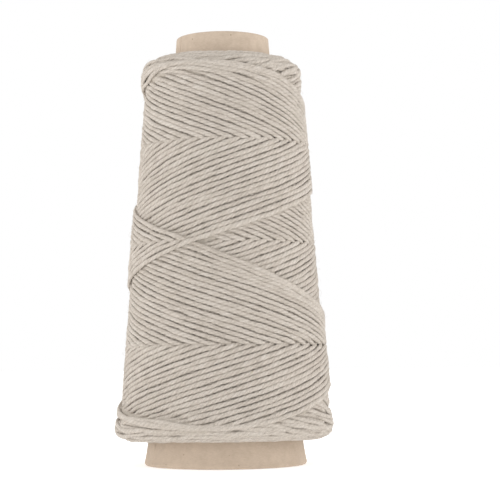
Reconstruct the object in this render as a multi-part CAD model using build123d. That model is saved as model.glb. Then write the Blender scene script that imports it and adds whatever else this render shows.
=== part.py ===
from build123d import *
import math
import os

# Paper cone cross-wound with one length of twisted thread.
# Millimetres. +Z runs up the cone's axis, from the wide base to the narrow nose.
# The origin is the centre of the ring that the base stands on.

# ---- paper cone ---------------------------------------------------------
CONE_LENGTH = 170.0
HALF_ANGLE = 4.0 + 20.0 / 60.0      # the 4 degree 20 minute taper of a thread cone
NOSE_OUTER_R = 18.5
NOSE_BORE_R = 16.5                  # parallel land pressed into the nose
NOSE_LAND = 6.0                     # its length
LAND_RUNOUT = 6.0                   # where the land runs out into the taper
WALL = NOSE_OUTER_R - NOSE_BORE_R
INNER_PLY = 0.45
OUTER_PLY = 0.45
NOSE_EDGE = 0.35                    # rounding of the nose's outer edge
FLARE_TOP = 14.0                    # height where the base starts to flare
# flared foot of the cone: radius and height at the middle of the flare, at its
# widest, on the rounded edge, and on the ring it stands on
FLARE_MID = (30.97, 7.6)
FLARE_END = (32.06, 1.4)
EDGE_MID = (31.98, 0.42)
EDGE_END = (31.60, 0.0)
SEAM_ANGLE = -152.0                 # where the outer ply's edge meets its own start
SEAM_GAP_ANGLE = 1.1                # about half a millimetre wide

# ---- winding ------------------------------------------------------------
WIND_BOTTOM = 8.6                   # lower end face of the package
WIND_TOP = 162.8                    # upper end face
SIDE_LOW = (43.2, 15.0)             # radius, height at the foot of the straight side
SIDE_HIGH = (32.2, 154.0)           # radius, height at its top
FLAT_LOW_R = 36.5                   # where the lower end face starts to round over
FLAT_HIGH_R = 24.0                  # where the upper end face starts to round over
OUTER_DEPTH = 4.0                   # the last covering layers and the crossings under them
END_DEPTH = 3.2                     # their depth at the end faces

TAPER = math.tan(math.radians(HALF_ANGLE))


def cone_r(z, inset=0.0):
    """Radius of the plain outer cone at height z."""
    return NOSE_OUTER_R + (CONE_LENGTH - z) * TAPER - inset


def foot_curve(shift=0.0):
    """The flared foot's outer line, from the knee down to the ground ring."""
    knee = (cone_r(FLARE_TOP, shift), 0, FLARE_TOP)
    mid, end, edge_mid, edge_end = [(r - shift, 0, z) for r, z in (FLARE_MID, FLARE_END, EDGE_MID, EDGE_END)]
    return [ThreePointArc(knee, mid, end), ThreePointArc(end, edge_mid, edge_end)]


def foot_curve_up(shift=0.0):
    """The same line, from the ground ring up to the knee."""
    knee = (cone_r(FLARE_TOP, shift), 0, FLARE_TOP)
    mid, end, edge_mid, edge_end = [(r - shift, 0, z) for r, z in (FLARE_MID, FLARE_END, EDGE_MID, EDGE_END)]
    return [ThreePointArc(edge_end, edge_mid, end), ThreePointArc(end, mid, knee)]


def foot_r(z):
    """Radius of the foot's flare at height z."""
    curve = foot_curve()[0]
    lo, hi = 0.0, 1.0
    for _ in range(50):
        mid = (lo + hi) / 2
        if (curve @ mid).Z > z:
            lo = mid
        else:
            hi = mid
    return (curve @ lo).X


def section(*points_and_edges):
    """Closed face from a chain of edges and points, joined with straight lines."""
    edges, last, first = [], None, None
    for item in points_and_edges:
        if isinstance(item, tuple):
            start = end = Vector(item[0], 0, item[1])
        else:
            start, end = item @ 0, item @ 1
        if last is not None and (start - last).length > 1e-6:
            edges.append(Line(last, start))
        if not isinstance(item, tuple):
            edges.append(item)
        first = start if first is None else first
        last = end
    if (first - last).length > 1e-6:
        edges.append(Line(last, first))
    return make_face(Wire(edges))


def turned(face, arc=360.0):
    return revolve(face, axis=Axis.Z, revolution_arc=arc)


# ---- the cone's plies ---------------------------------------------------
def bore_line(shift):
    """The wall's inner line from the foot up to the nose, moved out by shift."""
    return [
        (cone_r(0.0, WALL) + shift, 0.0),
        (cone_r(CONE_LENGTH - NOSE_LAND - LAND_RUNOUT, WALL) + shift,
         CONE_LENGTH - NOSE_LAND - LAND_RUNOUT),
        (NOSE_BORE_R + shift, CONE_LENGTH - NOSE_LAND),
        (NOSE_BORE_R + shift, CONE_LENGTH),
    ]


# inner ply: the smooth liner that a spindle slides on
inner_ply = turned(section(*bore_line(0.0), *bore_line(INNER_PLY)[::-1]))

# board: the pasted middle plies that give the cone its stiffness
board = turned(section(
    (NOSE_OUTER_R - OUTER_PLY, CONE_LENGTH),
    (cone_r(FLARE_TOP, OUTER_PLY), FLARE_TOP),
    *foot_curve(OUTER_PLY),
    *bore_line(INNER_PLY),
))

# outer ply: the last wrap of kraft paper, whose edge leaves a narrow seam
nose_round = ThreePointArc(
    (NOSE_OUTER_R - NOSE_EDGE, 0, CONE_LENGTH),
    (NOSE_OUTER_R - 0.28 * NOSE_EDGE, 0, CONE_LENGTH - 0.28 * NOSE_EDGE),
    (cone_r(CONE_LENGTH - NOSE_EDGE), 0, CONE_LENGTH - NOSE_EDGE),
)
outer_face = section(
    nose_round,
    *foot_curve(),
    *foot_curve_up(OUTER_PLY),
    (NOSE_OUTER_R - OUTER_PLY, CONE_LENGTH),
)
outer_ply = Rotation(0, 0, SEAM_ANGLE + SEAM_GAP_ANGLE / 2) * turned(outer_face, 360.0 - SEAM_GAP_ANGLE)

# ---- the winding --------------------------------------------------------
LEAN = (SIDE_HIGH[0] - SIDE_LOW[0], 0, SIDE_HIGH[1] - SIDE_LOW[1])


def package(depth, end_depth, end_in, side_in):
    """Outside of the package, from the foot up and over, sunk by the given depths."""
    low, high = WIND_BOTTOM + end_depth, WIND_TOP - end_depth
    a = (SIDE_LOW[0] - depth, 0, SIDE_LOW[1] + side_in)
    b = (SIDE_HIGH[0] - depth, 0, SIDE_HIGH[1] - side_in)
    p = (FLAT_LOW_R - end_in, 0, low)
    q = (FLAT_HIGH_R - end_in, 0, high)
    return [Spline(p, a, tangents=[(1, 0, 0), LEAN]), Line(a, b),
            Spline(b, q, tangents=[LEAN, (-1, 0, 0)])]


SEAT = {z: foot_r(z) for z in (WIND_BOTTOM, 10.2, WIND_BOTTOM + END_DEPTH, FLARE_TOP)}
inner_low = (SEAT[WIND_BOTTOM + END_DEPTH], WIND_BOTTOM + END_DEPTH)
inner_high = (cone_r(WIND_TOP - END_DEPTH), WIND_TOP - END_DEPTH)

# the buried turns: everything under the last covering layers
inner_turns = turned(section(
    inner_low, *package(OUTER_DEPTH, END_DEPTH, 1.5, 1.5), inner_high,
    (SEAT[FLARE_TOP], FLARE_TOP),
))

# the covering turns: the shell that the last layers fill, over the side and both ends
outer_turns = turned(section(
    (SEAT[WIND_BOTTOM], WIND_BOTTOM), *package(0.0, 0.0, 0.0, 0.0), (cone_r(WIND_TOP), WIND_TOP),
    inner_high,
    *[e.reversed() for e in package(OUTER_DEPTH, END_DEPTH, 1.5, 1.5)[::-1]],
    inner_low, (SEAT[10.2], 10.2),
))

parts = {
    "cone_inner_ply": inner_ply,
    "cone_board": board,
    "cone_outer_ply": outer_ply,
    "thread_inner_turns": inner_turns,
    "thread_outer_turns": outer_turns,
}

os.makedirs("parts", exist_ok=True)
for name, shape in parts.items():
    solids = shape.solids()
    assert len(solids) == 1, (name, len(solids))
    solid = solids[0]
    solid.label = name
    export_step(solid, f"parts/{name}.step")
    bb = solid.bounding_box()
    print(f"{name}: volume {solid.volume / 1000:.2f} cm3, z {bb.min.Z:.2f} to {bb.max.Z:.2f}, "
          f"r {bb.max.X:.2f}, valid {solid.is_valid}")
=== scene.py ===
import math

import bpy
import numpy as np
from mathutils import Matrix, Vector


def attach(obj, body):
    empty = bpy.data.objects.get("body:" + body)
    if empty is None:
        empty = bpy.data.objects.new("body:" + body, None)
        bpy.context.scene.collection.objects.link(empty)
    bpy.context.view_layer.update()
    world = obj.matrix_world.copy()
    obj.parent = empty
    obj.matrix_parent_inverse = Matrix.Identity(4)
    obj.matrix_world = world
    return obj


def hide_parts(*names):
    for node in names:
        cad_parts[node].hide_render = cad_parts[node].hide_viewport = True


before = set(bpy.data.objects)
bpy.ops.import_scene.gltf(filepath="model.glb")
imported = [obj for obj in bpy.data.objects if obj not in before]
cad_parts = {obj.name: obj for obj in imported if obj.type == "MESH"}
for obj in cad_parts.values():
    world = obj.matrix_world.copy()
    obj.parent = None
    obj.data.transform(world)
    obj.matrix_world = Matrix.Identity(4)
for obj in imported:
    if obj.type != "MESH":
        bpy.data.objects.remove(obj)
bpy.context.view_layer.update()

MM = 0.001
SEED = 20260

# ------------------------------------------------------------------ helpers


def node(tree, kind, x=0, y=0, **settings):
    n = tree.nodes.new(kind)
    n.location = (x, y)
    for k, v in settings.items():
        setattr(n, k, v)
    return n


def link(tree, a, b):
    tree.links.new(a, b)


def smooth_noise(rng, n, period, step):
    """Smooth random line of unit standard deviation, n samples, with that correlation length."""
    k = max(4, int(n * step / period) + 4)
    knots = rng.normal(size=k)
    x = np.linspace(0, k - 1.001, n)
    i = x.astype(int)
    t = x - i
    t = t * t * (3 - 2 * t)
    i2 = np.minimum(i + 1, k - 1)
    return (knots[i] * (1 - t) + knots[i2] * t) * 1.25


def mesh_object(name, verts, faces, smooth=True, attrs=None):
    """Mesh object from numpy arrays: verts n x 3 in metres, faces m x 4 or m x 3."""
    me = bpy.data.meshes.new(name)
    nv, nf, k = len(verts), len(faces), faces.shape[1]
    me.vertices.add(nv)
    me.vertices.foreach_set("co", np.ascontiguousarray(verts, np.float32).ravel())
    me.loops.add(nf * k)
    me.loops.foreach_set("vertex_index", np.ascontiguousarray(faces, np.int32).ravel())
    me.polygons.add(nf)
    me.polygons.foreach_set("loop_start", np.arange(0, nf * k, k, dtype=np.int32))
    me.polygons.foreach_set("loop_total", np.full(nf, k, np.int32))
    me.polygons.foreach_set("use_smooth", np.full(nf, smooth, bool))
    for key, (kind, data) in (attrs or {}).items():
        a = me.attributes.new(key, kind, "POINT")
        a.data.foreach_set("vector" if kind == "FLOAT_VECTOR" else "value", np.ascontiguousarray(data, np.float32).ravel())
    me.update()
    me.validate()
    ob = bpy.data.objects.new(name, me)
    bpy.context.scene.collection.objects.link(ob)
    return ob


# ---------------------------------------------------------- package surface
# Outer line of the wound package in the (radius, height) plane, in millimetres:
# lower end face, foot corner, straight side, shoulder, upper end face.
Z_BOT, Z_TOP = 9.9, 161.9
SIDE_A = (42.5, 15.2)
SIDE_B = (31.4, 153.6)
CORNER_A = (5.6, SIDE_A[1] - Z_BOT)
CORNER_B = (8.2, Z_TOP - SIDE_B[1])
FACE_A_R, FACE_B_R = 31.2, 19.2


def outer_line():
    pts = []
    for r in np.linspace(FACE_A_R, SIDE_A[0] - CORNER_A[0], 24, endpoint=False):
        pts.append((r, Z_BOT))
    for t in np.linspace(0, math.pi / 2, 40, endpoint=False):
        pts.append((SIDE_A[0] - CORNER_A[0] + CORNER_A[0] * math.sin(t), SIDE_A[1] - CORNER_A[1] * math.cos(t)))
    for t in np.linspace(0, 1, 200, endpoint=False):
        pts.append((SIDE_A[0] + (SIDE_B[0] - SIDE_A[0]) * t, SIDE_A[1] + (SIDE_B[1] - SIDE_A[1]) * t))
    for t in np.linspace(0, math.pi / 2, 40, endpoint=False):
        pts.append((SIDE_B[0] - CORNER_B[0] + CORNER_B[0] * math.cos(t), SIDE_B[1] + CORNER_B[1] * math.sin(t)))
    for r in np.linspace(SIDE_B[0] - CORNER_B[0], FACE_B_R, 20):
        pts.append((r, Z_TOP))
    return np.array(pts)


line = outer_line()
seg = np.hypot(*np.diff(line, axis=0).T)
arc = np.concatenate([[0], np.cumsum(seg)])
S_STEP = 0.25
NS = int(arc[-1] / S_STEP) + 1
s_grid = np.arange(NS) * S_STEP
R_s = np.interp(s_grid, arc, line[:, 0])
Z_s = np.interp(s_grid, arc, line[:, 1])
# rounded a little so that the normals turn smoothly
ker = np.exp(-0.5 * (np.arange(-8, 9) / 3.0) ** 2)
ker /= ker.sum()
R_s = np.convolve(np.pad(R_s, 8, mode="reflect", reflect_type="odd"), ker, "valid")
Z_s = np.convolve(np.pad(Z_s, 8, mode="reflect", reflect_type="odd"), ker, "valid")
dR, dZ = np.gradient(R_s), np.gradient(Z_s)
dl = np.hypot(dR, dZ)
NR_s, NZ_s = dZ / dl, -dR / dl          # outward normal in the (r, z) plane
TR_s, TZ_s = dR / dl, dZ / dl           # along the line, upwards

NT = 1440
T_STEP = 2 * math.pi / NT


def s_of_z(z):
    """Place along the line where the side or a corner has that height."""
    i = np.searchsorted(Z_s[60:-60], z) + 60
    return s_grid[np.clip(i, 0, NS - 1)]


def lut(table, s):
    return np.interp(s, s_grid, table)


# ---------------------------------------------------------------- the route
# One thread, laid on as the cone turns. It climbs from the foot to the shoulder in
# about two turns, comes down in about two more, and each return lands a little
# further round than the one before.
STEP_DEG = 9.55                # how much further round each double traverse lands
PER_LAP = 360.0 / STEP_DEG     # strands of one family round the cone
N_DOUBLE = 38                  # double traverses that are laid turn by turn
UP_RATE, DOWN_RATE = 0.2175, 0.2210     # climb and descent along the side, mm a degree
UP_MARK = (333.8, 84.9)        # the last climb passes this angle and height
DOWN_MARK = (1058.3, 86.4)     # the last whole descent, the same
HALF_W, HALF_H = 0.98, 0.78   # thread half width and half height where it lies flattened
GRIP = 0.76                    # how much of its height a strand keeps on the one below
LAYER = 2 * HALF_H * GRIP


def leg(th0, s0, th1, s1, ease0, ease1):
    """One climb or descent: angle in degrees and place along the line, with eased ends."""
    total = th1 - th0
    u = np.linspace(0, total, 1600)
    rate = np.minimum(1, u / ease0) * np.minimum(1, (total - u) / ease1)
    c = np.concatenate([[0], np.cumsum((rate[1:] + rate[:-1]) / 2)])
    return th0 + u, s0 + (s1 - s0) * c / c[-1]


def route():
    """Every stroke in the order it is laid: (family, n, theta in radians, s)."""
    rng = np.random.default_rng(SEED)
    last = N_DOUBLE - 1
    n_all = N_DOUBLE + 3
    k = np.arange(n_all)
    foot = s_of_z(12.0) - 4.2 * ((k * 0.618034) % 1.0) + 0.3 * np.sin(k * 0.55)
    head = s_of_z(159.9) + 4.6 * ((k * 0.618034 + 0.3) % 1.0)
    # foot[n] is where climb n starts, head[n] is where it ends
    foot[last], foot[last - 1], foot[last - 2], foot[last - 3] = (s_of_z(v) for v in (15.8, 13.0, 11.4, 10.4))
    head[last], head[last - 1], head[last - 2], head[last - 3] = (s_of_z(v) for v in (159.6, 160.5, 161.2, 160.2))
    jit_a, jit_d = rng.normal(size=n_all) * 0.22, rng.normal(size=n_all) * 0.22
    jit_a[last], jit_d[last - 1] = 0, 0
    up0, down0 = s_of_z(UP_MARK[1]), s_of_z(DOWN_MARK[1])

    def up_at(n, s):          # angle at which climb n's straight run reaches s
        return UP_MARK[0] + jit_a[n] - STEP_DEG * (last - n) + (s - up0) / UP_RATE

    def down_at(n, s):        # the same for descent n, which follows climb n
        return DOWN_MARK[0] + jit_d[n] - STEP_DEG * (last - 1 - n) - (s - down0) / DOWN_RATE

    def foot_turn(n):         # where descent n-1 turns into climb n: angle, ease down, ease up
        room = 2 * (up_at(n, foot[n]) + 1440.0 - down_at(n - 1, foot[n]))
        room = max(room, 30.0)
        share = 0.30 if n == last else 0.16
        return up_at(n, foot[n]) - room * share / 2, room * (1 - share), room * share

    def head_turn(n):         # where climb n turns into descent n
        room = max(2 * (down_at(n, head[n]) - up_at(n, head[n])), 24.0)
        return up_at(n, head[n]) + room * 0.39 / 2, room * 0.39, room * 0.61

    out = []
    for n in range(0, N_DOUBLE):
        th_f, _, up_ease = foot_turn(n)
        th_h, head_up, head_down = head_turn(n)
        if n > 0:
            th, s = leg(th_f, foot[n], th_h, head[n], up_ease, head_up)
            out.append(("A", n, np.radians(th), s))
        if n == last:
            s_end = head[n] - DOWN_RATE * 196
            th, s = leg(th_h, head[n], th_h + 226.0, s_end, head_down, 1.0)
        else:
            th_n, down_ease, _ = foot_turn(n + 1)
            th, s = leg(th_h, head[n], th_n + 1440.0, foot[n + 1], head_down, down_ease)
            # the last whole descent runs steeper across the front, and the two before it a little
            amount = {last - 1: 1.0, last - 2: 0.75, last - 3: 0.45, last - 4: 0.2}.get(n, 0.0)
            if amount:
                rel = th - (th_n + 1440.0)
                at = [-460, -427, -374, -352, -327, -309, -297, -288, -250, -200, -150, -104]
                by = [0, 0.1, 0, -1.1, -2.3, -2.9, -3.7, -4.2, -3.7, -2.3, -1.0, 0]
                s = s + amount * gauss(np.interp(rel, at, by), 12.0)
        out.append(("D", n, np.radians(th), s))
    return out


def end_turns():
    """Returns of the older layers, seen edge-on on the two end faces: short arcs whose ends
    dive back into the package. Laid from the cone outwards, before the last cover."""
    rng = np.random.default_rng(SEED + 7)
    out = []
    for name, first, way in (("L", 1.1, 1.0), ("U", s_grid[-1] - 1.1, -1.0)):
        for ring in range(7):
            s0 = first + way * 1.72 * ring
            start = rng.uniform(0, 2 * math.pi)
            count = 7
            for k in range(count):
                mid = start + (2 * math.pi / count) * (k + rng.uniform(-0.12, 0.12))
                half = math.radians(rng.uniform(36, 46))
                phi = np.linspace(-half, half, 120)
                tilt = rng.uniform(-1.0, 1.0)
                s = s0 + way * (rng.uniform(-0.2, 0.2) + 1.1 * tilt * phi / half)
                dive = 1.3 * np.abs(phi / half) ** 3.0
                out.append((name, ring, mid + phi, s, dive))
    return out


def resample(th, s, step):
    """Even steps along the surface."""
    r = lut(R_s, s)
    d = np.hypot(np.diff(th) * (r[1:] + r[:-1]) / 2, np.diff(s))
    a = np.concatenate([[0], np.cumsum(d)])
    n = max(2, int(a[-1] / step))
    t = np.linspace(0, a[-1], n)
    return np.interp(t, a, th), np.interp(t, a, s), t


def box_filter(v, w, op):
    """Running max or min over 2w+1 samples."""
    p = np.pad(v, w, mode="edge")
    return op(np.lib.stride_tricks.sliding_window_view(p, 2 * w + 1), axis=1)


def gauss(v, sigma):
    w = int(3 * sigma) + 1
    k = np.exp(-0.5 * (np.arange(-w, w + 1) / sigma) ** 2)
    return np.convolve(np.pad(v, w, mode="edge"), k / k.sum(), "valid")


def sideways(th, s):
    """Unit vector across the strand, on the surface, and the radius there."""
    r = lut(R_s, s)
    tx, ty = np.gradient(th) * r, np.gradient(s)
    ln = np.hypot(tx, ty)
    return -ty / ln, tx / ln, r


def cell(th, s):
    return (np.clip((s / S_STEP).astype(int), 0, NS - 1), (th / T_STEP).astype(int) % NT)


PROBES = np.array([-0.62, -0.4, -0.2, 0.0, 0.2, 0.4, 0.62])


def rest_height(H, th, s, px, py, r, half_w, half_h):
    """Height of the centre line where the strand rests on the highest thing underneath."""
    best = None
    for u in PROBES:
        i, j = cell(th + px * u * half_w / r, s + py * u * half_w)
        h = H[i, j] + half_h * (2 * GRIP - 1) * math.sqrt(1 - u * u)
        best = h if best is None else np.maximum(best, h)
    return best


def near_ends(s, width=8.0):
    """1 where the thread turns back, near the foot and the shoulder, and 0 on the straight side."""
    return np.clip(1 - (np.minimum(s, s_grid[-1] - s) - 15.5) / width, 0, 1)


def settle(H, th, s, reach, pull):
    """Lets a strand slip sideways into the nearest hollow: least height, least slip, no kinks."""
    ds = 1.0
    th1, s1, t1 = resample(th, s, ds)
    px, py, r = sideways(th1, s1)
    offs = np.arange(-reach, reach + 0.01, 0.2)
    cost = np.empty((len(th1), len(offs)))
    for k, o in enumerate(offs):
        h = rest_height(H, th1 + px * o / r, s1 + py * o, px, py, r, HALF_W, HALF_H)
        cost[:, k] = h + (pull + 2.2 * (1 - near_ends(s1))) * o * o
    m, q = cost.shape
    total = cost[0].copy()
    back = np.zeros((m, q), np.int8)
    slip = 0.05
    for i in range(1, m):
        left = np.concatenate([[1e9], total[:-1]]) + slip
        right = np.concatenate([total[1:], [1e9]]) + slip
        c = np.stack([left, total, right])
        w = c.argmin(0)
        back[i] = w - 1
        total = c[w, np.arange(q)] + cost[i]
    k = int(total.argmin())
    pick = np.empty(m, int)
    for i in range(m - 1, -1, -1):
        pick[i] = k
        k += back[i, k]
    o = gauss(offs[pick], 2.5)
    return t1, o


def lay(strokes, base, level=None):
    """Lays every stroke on what is under it. base is the height of the buried turns.
    Returns the strands' centre lines and the finished height of the surface."""
    H = base.copy()
    rng = np.random.default_rng(SEED + 1)
    su = np.linspace(-0.94, 0.94, 15)
    step = 0.35
    placed = []
    for item in end_turns_laid + strokes:
        family, n, th, s = item[:4]
        arc = family in "LU"
        th_in = th
        th, s, t = resample(th, s, step)
        m = len(t)
        px, py, r = sideways(th, s)
        newest = n >= N_DOUBLE - 2 and not arc
        t1, o1 = settle(H, th, s, 0.8 if newest or arc else 1.4, 0.9 if newest else 0.22)
        o = np.interp(t / t[-1], t1 / t1[-1], o1)
        wander = 0.07 * smooth_noise(rng, m, 16.0, step) + 0.065 * smooth_noise(rng, m, 4.5, step)
        size = np.clip(1 + 0.045 * smooth_noise(rng, m, 14.0, step) + 0.06 * smooth_noise(rng, m, 3.4, step), 0.84, 1.16)
        th = th + px * (o + wander) / r
        s = np.clip(s + py * (o + wander), 0.5, s_grid[-1] - 0.5)
        px, py, r = sideways(th, s)
        a, b = HALF_W * size, HALF_H * size
        hc = rest_height(H, th, s, px, py, r, a, b)
        w = int(1.4 / step)
        if not arc:
            hc = box_filter(box_filter(hc, w, np.max), w, np.min)
        hc = gauss(hc, 1.0 / step)
        if arc:
            hc = swell_at(th, s) - 0.70 - HALF_H + 0.12 * smooth_noise(rng, m, 9.0, step) - np.interp(th, th_in, item[4])
        elif level is not None:
            want = level(family, n, th, s) - HALF_H
            ww = int(2.0 / step)
            lo, hi = gauss(box_filter(want, ww, np.min), 2.0), gauss(box_filter(want, ww, np.max), 2.0)
            tol = 0.10 + 0.9 * near_ends(s)
            hc = np.clip(hc, lo - tol, hi + tol)
            hc = gauss(hc, 0.6 / step)
        if not arc:
            # the turning thread beds into the ones it lies on: older turns deeper, newer ones proud
            d = np.minimum(s, s_grid[-1] - s)
            hold = np.clip(1 - (d - 11.0) / 6.0, 0, 1)
            # like shingles: a turn stands proud where it arrives and lies low where it leaves
            shingle = np.where(t > t[-1] / 2, np.clip((t[-1] - t) / 12.0, 0, 1), -np.clip(t / 12.0, 0, 1))
            cap = swell_at(th, s) - HALF_H + 0.50 - 0.028 * (N_DOUBLE - 1 - n) + 0.42 * shingle
            hc = hc + hold * (np.clip(hc, cap - 0.5, cap) - hc)
            hc = gauss(hc, 1.0 / step)
        placed.append([family, n, th, s, hc, size])
        for u in su:
            i, j = cell(th + px * u * a / r, s + py * u * a)
            np.maximum.at(H, (i, j), (hc + b * np.sqrt(1 - u * u)).astype(H.dtype))
    return placed, H


def swell_at(th, s):
    """The corners of the package bulge at both sides, most on the left, where its last turns are piled."""
    left, right = np.clip(-np.sin(th), 0, 1), np.clip(np.sin(th), 0, 1)
    out = 0
    for d, at_left, at_right in ((s, 1.15, 0.8), (s_grid[-1] - s, 1.1, 0.3)):
        out = out + np.clip(1 - (d - 11.0) / 8.0, 0, 1) * (0.35 + 0.65 * np.clip(d / 7.0, 0, 1)) * (at_left * left + at_right * right)
    return out


strokes = route()
end_turns_laid = end_turns()
theta_grid = (np.arange(NT) + 0.5) * T_STEP
last_a = [x for x in strokes if x[0] == "A"][-1]
last_d = [x for x in strokes if x[0] == "D"][-2]
tha = np.interp(s_grid, last_a[3], last_a[2])
thd = np.interp(s_grid, last_d[3][::-1], last_d[2][::-1])


def age_of(family, th, s):
    """How many double traverses ago the last strand of a family passed a place."""
    ref = np.interp(s, s_grid, tha if family == "A" else thd)
    age = ((ref - th) % (2 * math.pi)) / (2 * math.pi) * PER_LAP
    return age


def crest_of(values):
    return gauss(np.array([box_filter(row, 7, np.max).mean() for row in values]), 5.0)


def surface_ramp(gain):
    """Two ramps that wind round, one for each way the thread crosses, so that the newest
    turns stand one thread proud of their older neighbours. gain is the height of one lap."""
    fa = age_of("A", theta_grid[None, :], s_grid[:, None]) / PER_LAP
    fd = age_of("D", theta_grid[None, :], s_grid[:, None]) / PER_LAP
    return -(gain[:, None] / 2) * (fa + fd - 1.0)


def level(family, n, th, s):
    """Height that the crest of a strand of the straight side should have."""
    k = N_DOUBLE - 1 - n
    if family == "A":
        other = age_of("D", th, s) + 1.0
        buried = other < k + 0.5
    else:
        other = age_of("A", th, s)
        buried = other < k - 0.5
    return LAYER * (1.0 - (k + other + PER_LAP * buried) / PER_LAP)


swell = swell_at(theta_grid[None, :], s_grid[:, None])
target = -0.25 * np.clip(1 - np.minimum(s_grid, s_grid[-1] - s_grid) / 6.0, 0, 1)
gain = np.full(NS, 2 * LAYER)
crest = np.zeros(NS)
for attempt in range(2):
    base = (surface_ramp(gain) - 2 * LAYER - crest[:, None] + target[:, None] + swell).astype(np.float32)
    before = crest_of(base)
    placed, H = lay(strokes, base, level if attempt else None)
    after = crest_of(H)
    gain = gauss(np.clip(after - before, 1.6 * LAYER, 6.0), 8.0)
    crest = crest + after - target
    print("lap gain", gain[::60].round(2), "crest", after[::60].round(2))
base = (surface_ramp(gain) - 2 * LAYER - crest[:, None] + target[:, None] + swell).astype(np.float32)
placed, H = lay(strokes, base, level)
print("crest", crest_of(H)[::60].round(2))

# ----------------------------------------------------------- thread meshes
SIDES = 15
RING = 0.62                     # spacing of the rings along the thread
LAY_LENGTH = 7.2                # one turn of its three plies
PLY_SHAPE = 0.945 + 0.07 * np.cos(3 * 2 * math.pi * np.arange(SIDES) / SIDES)


def thread_surface(th, s, hc, size, run0):
    """Rings of a three-ply thread along a centre line. Returns rings x sides x 3 points and their lay coordinates."""
    R, Z = lut(R_s, s), lut(Z_s, s)
    nr, nz = lut(NR_s, s), lut(NZ_s, s)
    r = R + nr * hc
    z = Z + nz * hc
    c, sn = np.sin(th), -np.cos(th)      # theta 0 is the front, -Y, and grows to the right
    P = np.stack([r * c, r * sn, z], -1)
    T = np.gradient(P, axis=0)
    T /= np.linalg.norm(T, axis=1)[:, None]
    N = np.stack([nr * c, nr * sn, nz], -1)
    N = N - (N * T).sum(1)[:, None] * T
    N /= np.linalg.norm(N, axis=1)[:, None]
    L = np.cross(T, N)
    d = np.concatenate([[0], np.cumsum(np.linalg.norm(np.diff(P, axis=0), axis=1))])
    run = run0 + d
    k = np.arange(SIDES)
    mat = 2 * math.pi * k / SIDES
    phi = mat[None, :] + 2 * math.pi * (run / LAY_LENGTH)[:, None]
    rho = PLY_SHAPE[None, :] * size[:, None]
    off = (np.cos(phi) * rho * HALF_W)[..., None] * L[:, None, :] + (np.sin(phi) * rho * HALF_H)[..., None] * N[:, None, :]
    X = P[:, None, :] + off
    coords = np.stack([np.broadcast_to(run[:, None], phi.shape), np.broadcast_to(np.cos(mat)[None], phi.shape),
                       np.broadcast_to(np.sin(mat)[None], phi.shape)], -1)
    return X, coords, run[-1]


def tube_faces(n, m, cap=True):
    i = np.arange(n - 1)[:, None] * m
    k = np.arange(m)[None, :]
    a, b = i + k, i + (k + 1) % m
    return np.stack([a, b, b + m, a + m], -1).reshape(-1, 4)


# the whole thread as one line, then cut into pieces of manageable size
th_all, s_all, h_all, z_all = [], [], [], []
turn = 0.0
for family, n, th, s, hc, size in placed:
    if family in "LU":
        continue
    if th_all:
        # each stroke starts where the one before ended: bring the angle into step and
        # blend the small jump in height and place away over the first centimetre
        th = th + 2 * math.pi * round((th_all[-1][-1] - th[0]) / (2 * math.pi))
        fade = np.clip(1 - np.arange(len(th)) / 30.0, 0, 1)
        fade = fade * fade * (3 - 2 * fade)
        th = th + (th_all[-1][-1] - th[0]) * fade
        s = s + (s_all[-1][-1] - s[0]) * fade
        hc = hc + (h_all[-1][-1] - hc[0]) * fade * 0.999
        size = size + (z_all[-1][-1] - size[0]) * fade
        th, s, hc, size = th[1:], s[1:], hc[1:], size[1:]
    th_all.append(th), s_all.append(s), h_all.append(hc), z_all.append(size)
th_all, s_all, h_all, z_all = (np.concatenate(v) for v in (th_all, s_all, h_all, z_all))
# both ends dive between their neighbours
dive = np.clip(np.arange(len(h_all)) / 60.0, 0, 1) * np.clip((len(h_all) - 1 - np.arange(len(h_all))) / 40.0, 0, 1)
h_all = h_all - (1 - dive * dive * (3 - 2 * dive)) * 2.4
r_all = lut(R_s, s_all)
step_all = np.hypot(np.gradient(th_all) * r_all, np.gradient(s_all))
run_all = np.cumsum(step_all)
total = run_all[-1]
even = np.arange(0, total, RING)
th_e, s_e, h_e, z_e = (np.interp(even, run_all, v) for v in (th_all, s_all, h_all, z_all))
print("thread laid turn by turn: %.2f m, %d rings" % (total / 1000, len(even)))

RINGS_PER_PIECE = 6500
thread_pieces = []
i0, run0, number = 0, 0.0, 1
while i0 < len(even) - 2:
    i1 = min(len(even), i0 + RINGS_PER_PIECE)
    sl = slice(max(0, i0 - 1), min(len(even), i1 + 1))
    X, C, _ = thread_surface(th_e[sl], s_e[sl], h_e[sl], z_e[sl], even[sl.start])
    lo = i0 - sl.start
    X, C = X[lo:lo + (i1 - i0)], C[lo:lo + (i1 - i0)]
    n = len(X)
    faces = tube_faces(n, SIDES)
    ob = mesh_object("thread_outer_%02d" % number, X.reshape(-1, 3) * MM, faces, True,
                     {"lay": ("FLOAT_VECTOR", C.reshape(-1, 3))})
    thread_pieces.append(ob)
    number += 1
    i0 = i1 - 1
for family, label in (("L", "thread_end_turns_low"), ("U", "thread_end_turns_high")):
    verts, faces, lay_at, at, run = [], [], [], 0, 0.0
    for item in placed:
        if item[0] != family:
            continue
        th, s, hc, size = item[2:]
        r = lut(R_s, s)
        d = np.cumsum(np.hypot(np.gradient(th) * r, np.gradient(s)))
        e = np.arange(d[0], d[-1], RING)
        X, C, run = thread_surface(*(np.interp(e, d, v) for v in (th, s, hc, size)), run + 11.3)
        verts.append(X.reshape(-1, 3))
        lay_at.append(C.reshape(-1, 3))
        faces.append(tube_faces(len(X), SIDES) + at)
        at += X.shape[0] * SIDES
    ob = mesh_object(label, np.vstack(verts) * MM, np.vstack(faces), True, {"lay": ("FLOAT_VECTOR", np.vstack(lay_at))})
    thread_pieces.append(ob)


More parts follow.
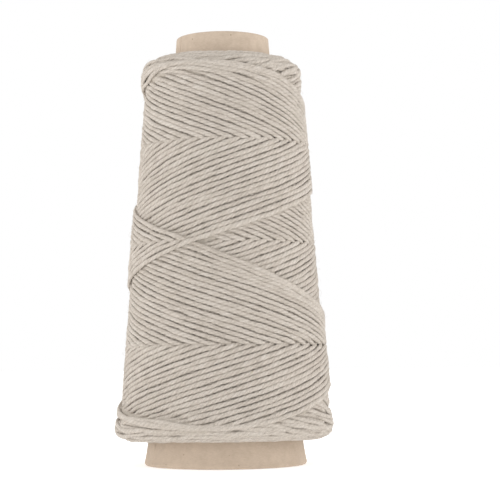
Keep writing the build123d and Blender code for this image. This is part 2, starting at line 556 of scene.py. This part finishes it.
def fuzz(count):
    """Loose fibres that stand off the outer turns: thin three-sided hairs."""
    rng = np.random.default_rng(SEED + 21)
    pick = rng.integers(40, len(th_e) - 40, count * 6)
    ij = cell(th_e[pick], s_e[pick])
    pick = pick[H[ij] - (h_e[pick] + HALF_H) < 0.25][:count]
    n = len(pick)
    th, s = th_e[pick], s_e[pick]
    r = lut(R_s, s)
    tx, ty = (th_e[pick + 3] - th_e[pick - 3]) * r, s_e[pick + 3] - s_e[pick - 3]
    heading = np.arctan2(ty, tx) + rng.normal(size=n) * 0.75 + math.pi * rng.integers(0, 2, n)
    bend = rng.normal(size=n) * 0.30
    length = rng.uniform(1.4, 4.2, n)
    wild = rng.random(n) < 0.10
    lift = np.where(wild, rng.uniform(0.5, 1.3, n), rng.uniform(0.03, 0.28, n))
    free = rng.random(n) < 0.6
    m = 6
    x, y = np.zeros((n, m)), np.zeros((n, m))
    for q in range(1, m):
        a = heading + bend * (q - 1)
        x[:, q] = x[:, q - 1] + np.cos(a) * length / (m - 1)
        y[:, q] = y[:, q - 1] + np.sin(a) * length / (m - 1)
    tt = np.linspace(0, 1, m)[None, :]
    rise = np.where(free[:, None], tt ** 1.3, np.sin(math.pi * tt)) * lift[:, None] - 0.12 * (1 - tt) ** 3
    tha = th[:, None] + x / r[:, None]
    sa = np.clip(s[:, None] + y, 1.0, s_grid[-1] - 1.0)
    ground = h_e[pick][:, None] + HALF_H * 0.93
    ground = np.maximum(ground, H[cell(tha, sa)] * 0.7 + 0.3 * ground)
    hh = ground + rise
    rr = lut(R_s, sa) + lut(NR_s, sa) * hh
    P = np.stack([rr * np.sin(tha), -rr * np.cos(tha), lut(Z_s, sa) + lut(NZ_s, sa) * hh], -1)
    T = np.gradient(P, axis=1)
    T /= np.linalg.norm(T, axis=2)[..., None]
    N = np.stack([np.sin(tha), -np.cos(tha), 0.15 + 0 * tha], -1)
    N -= (N * T).sum(2)[..., None] * T
    N /= np.maximum(np.linalg.norm(N, axis=2), 1e-6)[..., None]
    L = np.cross(T, N)
    w = (rng.uniform(0.024, 0.042, n)[:, None] * (1 - 0.55 * tt))[..., None]
    ring = [P + w * (math.cos(2 * math.pi * q / 3) * L + math.sin(2 * math.pi * q / 3) * N) for q in range(3)]
    V = np.stack(ring, 2).reshape(-1, 3)
    base_i = (np.arange(n) * m * 3)[:, None, None] + (np.arange(m - 1) * 3)[None, :, None]
    k = np.arange(3)[None, None, :]
    F = np.stack([base_i + k, base_i + (k + 1) % 3, base_i + 3 + (k + 1) % 3, base_i + 3 + k], -1).reshape(-1, 4)
    lay_at = np.stack([np.repeat(rng.uniform(0, 900, n), m * 3), np.zeros(n * m * 3) + 0.5, np.zeros(n * m * 3)], -1)
    return mesh_object("thread_fuzz", V * MM, F, True, {"lay": ("FLOAT_VECTOR", lay_at)})


thread_pieces.append(fuzz(5600))
print("thread pieces", len(thread_pieces), "faces", sum(len(o.data.polygons) for o in thread_pieces))

# ---------------------------------------------------- buried turns beneath
nt, ns = 360, 190
ti = (np.arange(nt) * (NT / nt)).astype(int)
si = np.linspace(0, NS - 1, ns).astype(int)
roof = H
for ax, reach in ((0, 4), (1, 6)):
    roof = np.max([np.roll(roof, q, ax) for q in range(-reach, reach + 1)], axis=0)
low = np.maximum(base - 0.35, roof - 1.75)
under = low[np.ix_(si, ti)]
Rg = R_s[si][:, None] + NR_s[si][:, None] * under
Zg = Z_s[si][:, None] + NZ_s[si][:, None] * under
tg = theta_grid[ti][None, :]
V = np.stack([Rg * np.sin(tg), -Rg * np.cos(tg), Zg + 0 * tg], -1).reshape(-1, 3)
i = np.arange(ns - 1)[:, None] * nt
k = np.arange(nt)[None, :]
a, b = i + k, i + (k + 1) % nt
F = np.stack([a, b, b + nt, a + nt], -1).reshape(-1, 4)
under_piece = mesh_object("thread_buried", V * MM, F)

# --------------------------------------- lap of the outer ply, in its seam
def lap_strip():
    """The pasted edge that lies in the seam of the outer ply, a little below its face."""
    up = np.linspace(14.0, 169.55, 60)
    foot_z = np.array([0.12, 0.42, 1.4, 3.0, 5.0, 7.6, 9.5, 11.8])
    foot_r = np.array([31.75, 31.95, 32.06, 31.77, 31.40, 30.97, 30.72, 30.48])
    z = np.concatenate([foot_z, up])
    r = np.concatenate([foot_r, 18.5 + (170.0 - up) * math.tan(math.radians(4 + 20 / 60))]) - 0.07
    a = np.radians(-152.0 + np.linspace(-0.6, 0.6, 5))
    V = np.stack([r[:, None] * np.cos(a), r[:, None] * np.sin(a), z[:, None] + 0 * a], -1).reshape(-1, 3)
    m = len(a)
    i, k = np.arange(len(z) - 1)[:, None] * m, np.arange(m - 1)[None, :]
    F = np.stack([i + k, i + k + 1, i + k + 1 + m, i + k + m], -1).reshape(-1, 4)
    return mesh_object("cone_lap_strip", V * MM, F)


lap_piece = lap_strip()

# ---------------------------------------------------------------- materials


def new_material(name):
    m = bpy.data.materials.new(name)
    m.use_nodes = True
    t = m.node_tree
    t.nodes.clear()
    out = node(t, "ShaderNodeOutputMaterial", 900, 0)
    bsdf = node(t, "ShaderNodeBsdfPrincipled", 600, 0)
    link(t, bsdf.outputs["BSDF"], out.inputs["Surface"])
    return m, t, bsdf


def ramp_node(t, stops, x, y, interp="LINEAR"):
    r = node(t, "ShaderNodeValToRGB", x, y)
    r.color_ramp.interpolation = interp
    e = r.color_ramp.elements
    while len(e) > 1:
        e.remove(e[-1])
    e[0].position, e[0].color = stops[0][0], (*stops[0][1], 1)
    for p, c in stops[1:]:
        q = e.new(p)
        q.color = (*c, 1)
    return r


def thread_material():
    m, t, bsdf = new_material("linen_thread")
    att = node(t, "ShaderNodeAttribute", -1400, 0, attribute_name="lay")
    # fibres: streaks along the plies
    mp = node(t, "ShaderNodeMapping", -1200, 0)
    mp.inputs["Scale"].default_value = (1.5, 5.0, 5.0)
    link(t, att.outputs["Vector"], mp.inputs["Vector"])
    fib = node(t, "ShaderNodeTexNoise", -1000, 100)
    fib.inputs["Scale"].default_value = 1.0
    fib.inputs["Detail"].default_value = 3.0
    link(t, mp.outputs["Vector"], fib.inputs["Vector"])
    # slow change of tone along the thread
    mp2 = node(t, "ShaderNodeMapping", -1200, -300)
    mp2.inputs["Scale"].default_value = (0.028, 0.25, 0.25)
    link(t, att.outputs["Vector"], mp2.inputs["Vector"])
    slow = node(t, "ShaderNodeTexNoise", -1000, -300)
    slow.inputs["Scale"].default_value = 1.0
    slow.inputs["Detail"].default_value = 2.0
    link(t, mp2.outputs["Vector"], slow.inputs["Vector"])
    tone = ramp_node(t, [(0.30, (0.500, 0.448, 0.392)), (0.52, (0.548, 0.494, 0.438)), (0.72, (0.590, 0.540, 0.486))], -760, -300)
    link(t, slow.outputs["Fac"], tone.inputs["Fac"])
    streak = ramp_node(t, [(0.30, (0.70, 0.68, 0.65)), (0.50, (1.0, 1.0, 1.0)), (0.72, (1.13, 1.13, 1.12))], -760, 100)
    link(t, fib.outputs["Fac"], streak.inputs["Fac"])
    mul0 = node(t, "ShaderNodeMix", -560, -60, data_type="RGBA", blend_type="MULTIPLY")
    mul0.inputs["Factor"].default_value = 1.0
    link(t, tone.outputs["Color"], mul0.inputs["A"])
    link(t, streak.outputs["Color"], mul0.inputs["B"])
    # grooves between the three plies, painted darker as shade and a little lighter on the ply crowns: cos 3a = 4 cos^3
    # a - 3 cos a
    sep = node(t, "ShaderNodeSeparateXYZ", -1200, 420)
    link(t, att.outputs["Vector"], sep.inputs["Vector"])
    sq = node(t, "ShaderNodeMath", -1000, 420, operation="MULTIPLY")
    link(t, sep.outputs["Y"], sq.inputs[0])
    link(t, sep.outputs["Y"], sq.inputs[1])
    ma = node(t, "ShaderNodeMath", -860, 420, operation="MULTIPLY_ADD")
    link(t, sq.outputs["Value"], ma.inputs[0])
    ma.inputs[1].default_value = 4.0
    ma.inputs[2].default_value = -3.0
    c3 = node(t, "ShaderNodeMath", -720, 420, operation="MULTIPLY")
    link(t, ma.outputs["Value"], c3.inputs[0])
    link(t, sep.outputs["Y"], c3.inputs[1])
    half = node(t, "ShaderNodeMath", -580, 420, operation="MULTIPLY_ADD")
    link(t, c3.outputs["Value"], half.inputs[0])
    half.inputs[1].default_value = 0.5
    half.inputs[2].default_value = 0.5
    # painted shade: darker in the grooves between the plies, a touch lighter on their crowns, multiplied into the
    # thread colour
    ply_groove_painted_shade = ramp_node(t, [(0.0, (0.90, 0.89, 0.88)), (0.35, (0.99, 0.99, 0.99)), (1.0, (1.03, 1.03, 1.03))], -440, 420)
    link(t, half.outputs["Value"], ply_groove_painted_shade.inputs["Fac"])
    mul = node(t, "ShaderNodeMix", -380, -60, data_type="RGBA", blend_type="MULTIPLY")
    mul.inputs["Factor"].default_value = 1.0
    link(t, mul0.outputs["Result"], mul.inputs["A"])
    link(t, ply_groove_painted_shade.outputs["Color"], mul.inputs["B"])
    # flecks of straw-coloured husk in a few places
    mp3 = node(t, "ShaderNodeMapping", -1200, -620)
    mp3.inputs["Scale"].default_value = (0.11, 0.8, 0.8)
    link(t, att.outputs["Vector"], mp3.inputs["Vector"])
    fleck = node(t, "ShaderNodeTexNoise", -1000, -620)
    fleck.inputs["Scale"].default_value = 1.0
    fleck.inputs["Detail"].default_value = 4.0
    link(t, mp3.outputs["Vector"], fleck.inputs["Vector"])
    fr = ramp_node(t, [(0.735, (0, 0, 0)), (0.80, (1, 1, 1))], -760, -620)
    link(t, fleck.outputs["Fac"], fr.inputs["Fac"])
    mix = node(t, "ShaderNodeMix", -220, -120, data_type="RGBA")
    link(t, fr.outputs["Color"], mix.inputs["Factor"])
    link(t, mul.outputs["Result"], mix.inputs["A"])
    mix.inputs["B"].default_value = (0.48, 0.37, 0.20, 1)
    link(t, mix.outputs["Result"], bsdf.inputs["Base Color"])
    bump = node(t, "ShaderNodeBump", 200, -400)
    bump.inputs["Strength"].default_value = 0.8
    bump.inputs["Distance"].default_value = 0.00022
    link(t, fib.outputs["Fac"], bump.inputs["Height"])
    link(t, bump.outputs["Normal"], bsdf.inputs["Normal"])
    bsdf.inputs["Roughness"].default_value = 0.86
    bsdf.inputs["Specular IOR Level"].default_value = 0.25
    bsdf.inputs["Sheen Weight"].default_value = 0.12
    bsdf.inputs["Sheen Roughness"].default_value = 0.5
    bsdf.inputs["Sheen Tint"].default_value = (0.9, 0.86, 0.8, 1)
    return m


def buried_thread_painted_shade():
    m, t, bsdf = new_material("linen_thread_buried_painted_shade")
    tc = node(t, "ShaderNodeTexCoord", -900, 0)
    no = node(t, "ShaderNodeTexNoise", -700, 0)
    no.inputs["Scale"].default_value = 700.0
    link(t, tc.outputs["Object"], no.inputs["Vector"])
    # painted shade: the buried turns are coloured darker than the thread's own tone, for the shade deep between the
    # strands
    r = ramp_node(t, [(0.3, (0.40, 0.355, 0.305)), (0.7, (0.50, 0.45, 0.39))], -450, 0)
    link(t, no.outputs["Fac"], r.inputs["Fac"])
    link(t, r.outputs["Color"], bsdf.inputs["Base Color"])
    bsdf.inputs["Roughness"].default_value = 0.95
    bsdf.inputs["Specular IOR Level"].default_value = 0.1
    return m


def paper_material(name, light, dark, fleck_colour, grain=1.0):
    m, t, bsdf = new_material(name)
    tc = node(t, "ShaderNodeTexCoord", -1500, 0)
    # pulp clouding
    cloud = node(t, "ShaderNodeTexNoise", -1000, 200)
    cloud.inputs["Scale"].default_value = 260.0 * grain
    cloud.inputs["Detail"].default_value = 6.0
    cloud.inputs["Roughness"].default_value = 0.6
    link(t, tc.outputs["Object"], cloud.inputs["Vector"])
    base_c = ramp_node(t, [(0.32, dark), (0.68, light)], -750, 200)
    link(t, cloud.outputs["Fac"], base_c.inputs["Fac"])
    # fibres lying round the cone
    mp = node(t, "ShaderNodeMapping", -1250, -120)
    mp.inputs["Scale"].default_value = (1.0, 1.0, 4.5)
    link(t, tc.outputs["Object"], mp.inputs["Vector"])
    fib = node(t, "ShaderNodeTexNoise", -1000, -120)
    fib.inputs["Scale"].default_value = 900.0
    fib.inputs["Detail"].default_value = 3.0
    link(t, mp.outputs["Vector"], fib.inputs["Vector"])
    fr = ramp_node(t, [(0.3, (0.93, 0.925, 0.92)), (0.7, (1.04, 1.04, 1.04))], -750, -120)
    link(t, fib.outputs["Fac"], fr.inputs["Fac"])
    mul = node(t, "ShaderNodeMix", -450, 100, data_type="RGBA", blend_type="MULTIPLY")
    mul.inputs["Factor"].default_value = 1.0
    link(t, base_c.outputs["Color"], mul.inputs["A"])
    link(t, fr.outputs["Color"], mul.inputs["B"])
    # dark specks of recycled fibre
    vo = node(t, "ShaderNodeTexVoronoi", -1000, -450)
    vo.inputs["Scale"].default_value = 210.0
    link(t, tc.outputs["Object"], vo.inputs["Vector"])
    sp = ramp_node(t, [(0.045, (1, 1, 1)), (0.075, (0, 0, 0))], -750, -450)
    link(t, vo.outputs["Distance"], sp.inputs["Fac"])
    pick = node(t, "ShaderNodeTexNoise", -1000, -700)
    pick.inputs["Scale"].default_value = 120.0
    link(t, tc.outputs["Object"], pick.inputs["Vector"])
    pr = ramp_node(t, [(0.52, (0, 0, 0)), (0.60, (1, 1, 1))], -750, -700)
    link(t, pick.outputs["Fac"], pr.inputs["Fac"])
    both = node(t, "ShaderNodeMath", -450, -550, operation="MULTIPLY")
    link(t, sp.outputs["Color"], both.inputs[0])
    link(t, pr.outputs["Color"], both.inputs[1])
    mix = node(t, "ShaderNodeMix", -150, 0, data_type="RGBA")
    link(t, both.outputs["Value"], mix.inputs["Factor"])
    link(t, mul.outputs["Result"], mix.inputs["A"])
    mix.inputs["B"].default_value = (*fleck_colour, 1)
    link(t, mix.outputs["Result"], bsdf.inputs["Base Color"])
    bump = node(t, "ShaderNodeBump", 250, -350)
    bump.inputs["Strength"].default_value = 0.35
    bump.inputs["Distance"].default_value = 0.0001
    link(t, fib.outputs["Fac"], bump.inputs["Height"])
    link(t, bump.outputs["Normal"], bsdf.inputs["Normal"])
    bsdf.inputs["Roughness"].default_value = 0.82
    bsdf.inputs["Specular IOR Level"].default_value = 0.3
    return m


thread_mat = thread_material()
for ob in thread_pieces:
    ob.data.materials.append(thread_mat)
    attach(ob, "root")
under_piece.data.materials.append(buried_thread_painted_shade())
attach(under_piece, "root")
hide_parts("thread_outer_turns")
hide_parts("thread_inner_turns")

kraft = paper_material("kraft_outer_ply", (0.560, 0.457, 0.362), (0.490, 0.396, 0.309), (0.33, 0.26, 0.19))
board_mat = paper_material("grey_board", (0.50, 0.43, 0.35), (0.42, 0.355, 0.285), (0.18, 0.15, 0.12), 1.6)
liner = paper_material("liner_ply", (0.52, 0.43, 0.34), (0.45, 0.37, 0.29), (0.20, 0.16, 0.12), 0.8)
lap_piece.data.materials.append(kraft)
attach(lap_piece, "root")
for n, mat in (("cone_outer_ply", kraft), ("cone_board", board_mat), ("cone_inner_ply", liner)):
    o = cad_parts[n]
    o.data.materials.clear()
    o.data.materials.append(mat)

# -------------------------------------------------------- stage and lights
white = bpy.data.materials.new("studio_floor")
white.use_nodes = True
p = white.node_tree.nodes["Principled BSDF"]
p.inputs["Base Color"].default_value = (0.95, 0.95, 0.95, 1)
p.inputs["Emission Color"].default_value = (1, 1, 1, 1)
p.inputs["Emission Strength"].default_value = 0.42
p.inputs["Roughness"].default_value = 0.9
p.inputs["Specular IOR Level"].default_value = 0.0
nf = 96
ang = np.linspace(0, 2 * math.pi, nf, endpoint=False)
fv = np.vstack([[0, 0, 0], np.stack([4 * np.cos(ang), 4 * np.sin(ang), 0 * ang], -1)])
ff = np.array([[0, 1 + i, 1 + (i + 1) % nf] for i in range(nf)])
floor = mesh_object("floor", fv, ff, False)
floor.location.z = -0.0002
floor.data.materials.append(white)

world = bpy.data.worlds.new("studio")
bpy.context.scene.world = world
world.use_nodes = True
world.node_tree.nodes["Background"].inputs["Color"].default_value = (1, 1, 1, 1)
world.node_tree.nodes["Background"].inputs["Strength"].default_value = 1.0


def area(name, loc, target, size, power, colour=(1, 1, 1)):
    d = bpy.data.lights.new(name, "AREA")
    d.shape, d.size, d.size_y = "RECTANGLE", size[0], size[1]
    d.energy, d.color = power, colour
    o = bpy.data.objects.new(name, d)
    o.location = loc
    o.rotation_euler = (Vector(target) - Vector(loc)).to_track_quat("-Z", "Y").to_euler()
    bpy.context.scene.collection.objects.link(o)
    return o


area("side_left", (-0.75, -0.15, 0.30), (0, 0, 0.09), (0.5, 0.8), 1.7, (1.0, 0.99, 0.975))
area("side_right", (0.75, -0.15, 0.30), (0, 0, 0.09), (0.5, 0.8), 1.7, (1.0, 0.99, 0.975))

# ------------------------------------------------------------------ camera
CAM_DIST, CAM_Z, YAW, PITCH, ROLL, F_PX = 0.6308, 0.04295, 0.0164, 0.0665, -0.0093, 1578.7
fwd = Vector((math.sin(YAW) * math.cos(PITCH), math.cos(YAW) * math.cos(PITCH), math.sin(PITCH)))
right = Vector((math.cos(YAW), -math.sin(YAW), 0))
up = right.cross(fwd)
r2 = right * math.cos(ROLL) + up * math.sin(ROLL)
u2 = up * math.cos(ROLL) - right * math.sin(ROLL)
cam_data = bpy.data.cameras.new("camera")
cam_data.sensor_width = 36.0
cam_data.lens = 36.0 * F_PX / 500.0
cam_data.clip_start, cam_data.clip_end = 0.01, 50
cam = bpy.data.objects.new("camera", cam_data)
cam.matrix_world = Matrix(((r2.x, u2.x, -fwd.x, 0.0), (r2.y, u2.y, -fwd.y, -CAM_DIST), (r2.z, u2.z, -fwd.z, CAM_Z), (0, 0, 0, 1)))
bpy.context.scene.collection.objects.link(cam)
bpy.context.scene.camera = cam

bpy.context.scene.view_settings.view_transform = "Standard"
bpy.context.scene.view_settings.look = "None"
